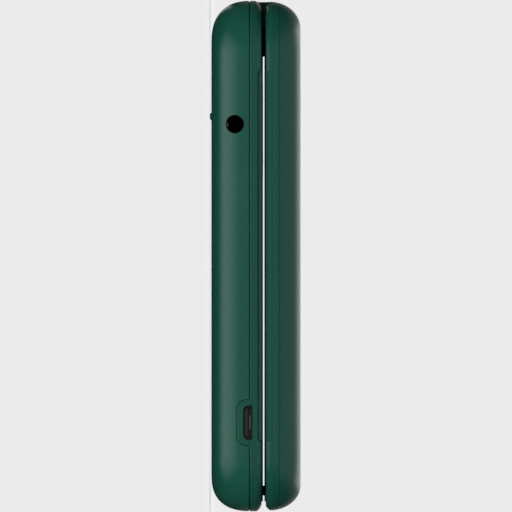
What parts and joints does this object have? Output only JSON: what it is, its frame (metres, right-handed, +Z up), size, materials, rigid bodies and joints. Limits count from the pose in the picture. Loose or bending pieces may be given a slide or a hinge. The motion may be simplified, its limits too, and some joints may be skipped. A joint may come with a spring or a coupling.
{
  "type": "flip phone",
  "caption": "Closed clamshell phone with a rounded two-part base, a hinged lid, keys that travel, a headphone socket and a small data port on one side.",
  "frame": {"origin": "on the surface under the middle of the phone, which lies on its back with the lid on top", "axes": "+X across the phone, away from the side with the headphone socket and data port; +Y along it, towards the hinge; +Z up, from the back to the lid"},
  "size_m": [0.055, 0.108, 0.0193],
  "materials": {
    "green_shell": "satin painted",
    "black_plastic": "fine matte",
    "key_caps": "satin",
    "silicone": "matte",
    "black_rubber": "matte",
    "board": "solder mask",
    "steel": "brushed",
    "gold_contact": "plated",
    "battery_wrap": "film",
    "copper_film": "film",
    "black_glass": "polished",
    "display_panel": "polished",
    "clear_lens": "clear"
  },
  "bodies": {
    "base": {"back_cover": "green_shell", "base_housing": "green_shell", "base_chassis": "black_plastic", "keypad_plate": "black_plastic", "keypad_mat": "silicone", "dome_sheet": "steel", "main_board": "board", "battery": "battery_wrap", "battery_contacts": "gold_contact", "sim_socket": "steel", "loudspeaker": "black_plastic", "headphone_jack": "black_plastic", "usb_socket": "steel", "usb_tongue": "black_plastic", "microphone": "gold_contact", "vibration_motor": "steel", "antenna": "copper_film", "base_screws": "steel", "hinge_knuckle": "green_shell", "hinge_pad": "black_plastic", "hinge_can": "steel", "hinge_spring": "steel"},
    "lid": {"lid_cover": "green_shell", "lid_frame": "green_shell", "display_glass": "black_glass", "main_display": "display_panel", "outer_window": "black_glass", "outer_display": "display_panel", "camera_module": "black_plastic", "camera_window": "black_glass", "flash_lens": "clear_lens", "earpiece": "black_plastic", "lid_board": "board", "lid_magnet": "steel", "lid_screws": "steel", "bumpers": "black_rubber", "hinge_shaft": "steel", "hinge_bush": "steel", "hinge_flex": "copper_film"},
    "nav_gimbal": {"nav_gimbal": "black_plastic"},
    "nav_ring": {"nav_ring": "key_caps"},
    "volume_rocker": {"volume_rocker": "green_shell"},
    "side_key": {"side_key": "green_shell"},
    "key_1": {"key_1": "key_caps"},
    "key_2": {"key_2": "key_caps"},
    "key_3": {"key_3": "key_caps"},
    "key_4": {"key_4": "key_caps"},
    "key_5": {"key_5": "key_caps"},
    "key_6": {"key_6": "key_caps"},
    "key_7": {"key_7": "key_caps"},
    "key_8": {"key_8": "key_caps"},
    "key_9": {"key_9": "key_caps"},
    "key_star": {"key_star": "key_caps"},
    "key_0": {"key_0": "key_caps"},
    "key_hash": {"key_hash": "key_caps"},
    "soft_key_left": {"soft_key_left": "key_caps"},
    "soft_key_right": {"soft_key_right": "key_caps"},
    "call_key": {"call_key": "key_caps"},
    "end_key": {"end_key": "key_caps"},
    "ok_key": {"ok_key": "key_caps"}
  },
  "joints": [
    {"name": "lid_hinge", "type": "hinge", "parent": "base", "child": "lid", "pos_m": [0, 0.051, 0.01456], "axis": [-1, 0, 0], "range_deg": [0, 150]},
    {"name": "key_1_press", "type": "slide", "parent": "base", "child": "key_1", "axis": [0, 0, -1], "range_m": [0, 0.0003], "stiffness_N_per_m": 800},
    {"name": "key_2_press", "type": "slide", "parent": "base", "child": "key_2", "axis": [0, 0, -1], "range_m": [0, 0.0003], "stiffness_N_per_m": 800},
    {"name": "key_3_press", "type": "slide", "parent": "base", "child": "key_3", "axis": [0, 0, -1], "range_m": [0, 0.0003], "stiffness_N_per_m": 800},
    {"name": "key_4_press", "type": "slide", "parent": "base", "child": "key_4", "axis": [0, 0, -1], "range_m": [0, 0.0003], "stiffness_N_per_m": 800},
    {"name": "key_5_press", "type": "slide", "parent": "base", "child": "key_5", "axis": [0, 0, -1], "range_m": [0, 0.0003], "stiffness_N_per_m": 800},
    {"name": "key_6_press", "type": "slide", "parent": "base", "child": "key_6", "axis": [0, 0, -1], "range_m": [0, 0.0003], "stiffness_N_per_m": 800},
    {"name": "key_7_press", "type": "slide", "parent": "base", "child": "key_7", "axis": [0, 0, -1], "range_m": [0, 0.0003], "stiffness_N_per_m": 800},
    {"name": "key_8_press", "type": "slide", "parent": "base", "child": "key_8", "axis": [0, 0, -1], "range_m": [0, 0.0003], "stiffness_N_per_m": 800},
    {"name": "key_9_press", "type": "slide", "parent": "base", "child": "key_9", "axis": [0, 0, -1], "range_m": [0, 0.0003], "stiffness_N_per_m": 800},
    {"name": "key_star_press", "type": "slide", "parent": "base", "child": "key_star", "axis": [0, 0, -1], "range_m": [0, 0.0003], "stiffness_N_per_m": 800},
    {"name": "key_0_press", "type": "slide", "parent": "base", "child": "key_0", "axis": [0, 0, -1], "range_m": [0, 0.0003], "stiffness_N_per_m": 800},
    {"name": "key_hash_press", "type": "slide", "parent": "base", "child": "key_hash", "axis": [0, 0, -1], "range_m": [0, 0.0003], "stiffness_N_per_m": 800},
    {"name": "soft_key_left_press", "type": "slide", "parent": "base", "child": "soft_key_left", "axis": [0, 0, -1], "range_m": [0, 0.0003], "stiffness_N_per_m": 800},
    {"name": "soft_key_right_press", "type": "slide", "parent": "base", "child": "soft_key_right", "axis": [0, 0, -1], "range_m": [0, 0.0003], "stiffness_N_per_m": 800},
    {"name": "call_key_press", "type": "slide", "parent": "base", "child": "call_key", "axis": [0, 0, -1], "range_m": [0, 0.0003], "stiffness_N_per_m": 800},
    {"name": "end_key_press", "type": "slide", "parent": "base", "child": "end_key", "axis": [0, 0, -1], "range_m": [0, 0.0003], "stiffness_N_per_m": 800},
    {"name": "ok_key_press", "type": "slide", "parent": "base", "child": "ok_key", "axis": [0, 0, -1], "range_m": [0, 0.0003], "stiffness_N_per_m": 800},
    {"name": "nav_tilt_up_down", "type": "hinge", "parent": "base", "child": "nav_gimbal", "pos_m": [0, 0.0268, 0.01026], "axis": [1, 0, 0], "range_deg": [-1.2, 1.2], "stiffness_Nm_per_rad": 0.08},
    {"name": "nav_tilt_left_right", "type": "hinge", "parent": "nav_gimbal", "child": "nav_ring", "pos_m": [0, 0.0268, 0.01026], "axis": [0, 1, 0], "range_deg": [-1.2, 1.2], "stiffness_Nm_per_rad": 0.08},
    {"name": "volume_tilt", "type": "hinge", "parent": "base", "child": "volume_rocker", "pos_m": [0.0244, 0.0288, 0.00536], "axis": [0, 0, 1], "range_deg": [-1.5, 1.5], "stiffness_Nm_per_rad": 0.05},
    {"name": "side_key_press", "type": "slide", "parent": "base", "child": "side_key", "axis": [-1, 0, 0], "range_m": [0, 0.0003], "stiffness_N_per_m": 800}
  ]
}
